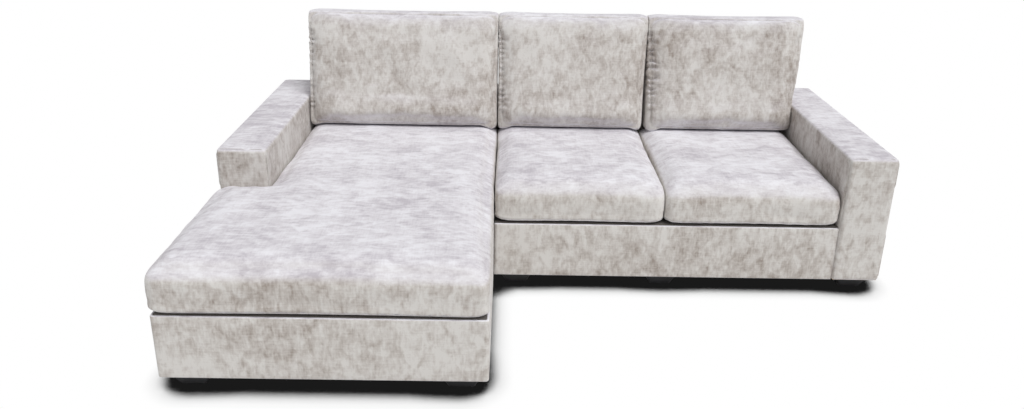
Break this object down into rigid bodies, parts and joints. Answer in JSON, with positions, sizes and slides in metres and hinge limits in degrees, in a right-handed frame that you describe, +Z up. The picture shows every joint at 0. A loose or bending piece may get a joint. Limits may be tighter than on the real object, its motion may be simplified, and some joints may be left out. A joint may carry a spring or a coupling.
{
  "type": "sectional sofa with chaise",
  "caption": "Two-unit sectional sofa with a chaise on the left, slab arms, loose crowned seat and back cushions, padded base border and low block feet.",
  "frame": {"origin": "middle of the footprint, on the floor", "axes": "+X to the viewer's right along the width, -Y the way the seats face, +Z up"},
  "size_m": [2.6, 1.686, 0.9576],
  "materials": {
    "upholstery": "matte",
    "timber": "matte",
    "plywood": "matte",
    "foam": "matte",
    "deck_cloth": "matte",
    "webbing": "matte",
    "dust_cloth": "matte",
    "foot_plastic": "matte",
    "plated_steel": "satin"
  },
  "bodies": {
    "sofa_unit": {"sofa_front_border": "upholstery", "right_arm_cover": "upholstery", "sofa_back_cover": "upholstery", "sofa_inner_rail": "timber", "sofa_outer_rail": "timber", "sofa_front_rail": "timber", "sofa_rear_rail": "timber", "sofa_cross_bearers": "timber", "sofa_corner_blocks": "timber", "sofa_back_rails": "timber", "sofa_back_posts": "timber", "right_arm_frame": "plywood", "right_arm_foam": "foam", "sofa_back_foam": "foam", "sofa_platform": "deck_cloth", "sofa_seat_webbing": "webbing", "sofa_dust_sheet": "dust_cloth", "sofa_foot_front_left": "foot_plastic", "sofa_foot_front_middle": "foot_plastic", "sofa_foot_front_right": "foot_plastic", "sofa_foot_rear_left": "foot_plastic", "sofa_foot_rear_middle": "foot_plastic", "sofa_foot_rear_right": "foot_plastic", "sofa_foot_bolts": "plated_steel", "sofa_locating_plates": "plated_steel"},
    "chaise_unit": {"chaise_front_border": "upholstery", "chaise_outer_border": "upholstery", "chaise_inner_border": "upholstery", "left_arm_cover": "upholstery", "chaise_back_cover": "upholstery", "chaise_outer_rail": "timber", "chaise_inner_rail": "timber", "chaise_front_rail": "timber", "chaise_rear_rail": "timber", "chaise_cross_bearers": "timber", "chaise_corner_blocks": "timber", "chaise_back_rails": "timber", "chaise_back_posts": "timber", "left_arm_frame": "plywood", "left_arm_foam": "foam", "chaise_back_foam": "foam", "chaise_platform": "deck_cloth", "chaise_seat_webbing": "webbing", "chaise_dust_sheet": "dust_cloth", "chaise_foot_front_left": "foot_plastic", "chaise_foot_front_right": "foot_plastic", "chaise_foot_rear_left": "foot_plastic", "chaise_foot_rear_right": "foot_plastic", "chaise_foot_bolts": "plated_steel", "chaise_locating_pins": "plated_steel"},
    "chaise_seat": {"chaise_seat_cushion": "upholstery"},
    "middle_seat": {"middle_seat_cushion": "upholstery"},
    "right_seat": {"right_seat_cushion": "upholstery"},
    "left_back": {"left_back_cushion": "upholstery"},
    "middle_back": {"middle_back_cushion": "upholstery"},
    "right_back": {"right_back_cushion": "upholstery"}
  },
  "joints": [
    {"name": "chaise_unit_lift", "type": "slide", "parent": "sofa_unit", "child": "chaise_unit", "axis": [0, 0, 1], "range_m": [0, 0.05]},
    {"name": "chaise_seat_lift", "type": "slide", "parent": "chaise_unit", "child": "chaise_seat", "axis": [0, 0, 1], "range_m": [0, 0.3]},
    {"name": "middle_seat_lift", "type": "slide", "parent": "sofa_unit", "child": "middle_seat", "axis": [0, 0, 1], "range_m": [0, 0.3]},
    {"name": "right_seat_lift", "type": "slide", "parent": "sofa_unit", "child": "right_seat", "axis": [0, 0, 1], "range_m": [0, 0.3]},
    {"name": "left_back_lift", "type": "slide", "parent": "chaise_seat", "child": "left_back", "axis": [0, 0, 1], "range_m": [0, 0.52]},
    {"name": "middle_back_lift", "type": "slide", "parent": "middle_seat", "child": "middle_back", "axis": [0, 0, 1], "range_m": [0, 0.52]},
    {"name": "right_back_lift", "type": "slide", "parent": "right_seat", "child": "right_back", "axis": [0, 0, 1], "range_m": [0, 0.52]}
  ]
}
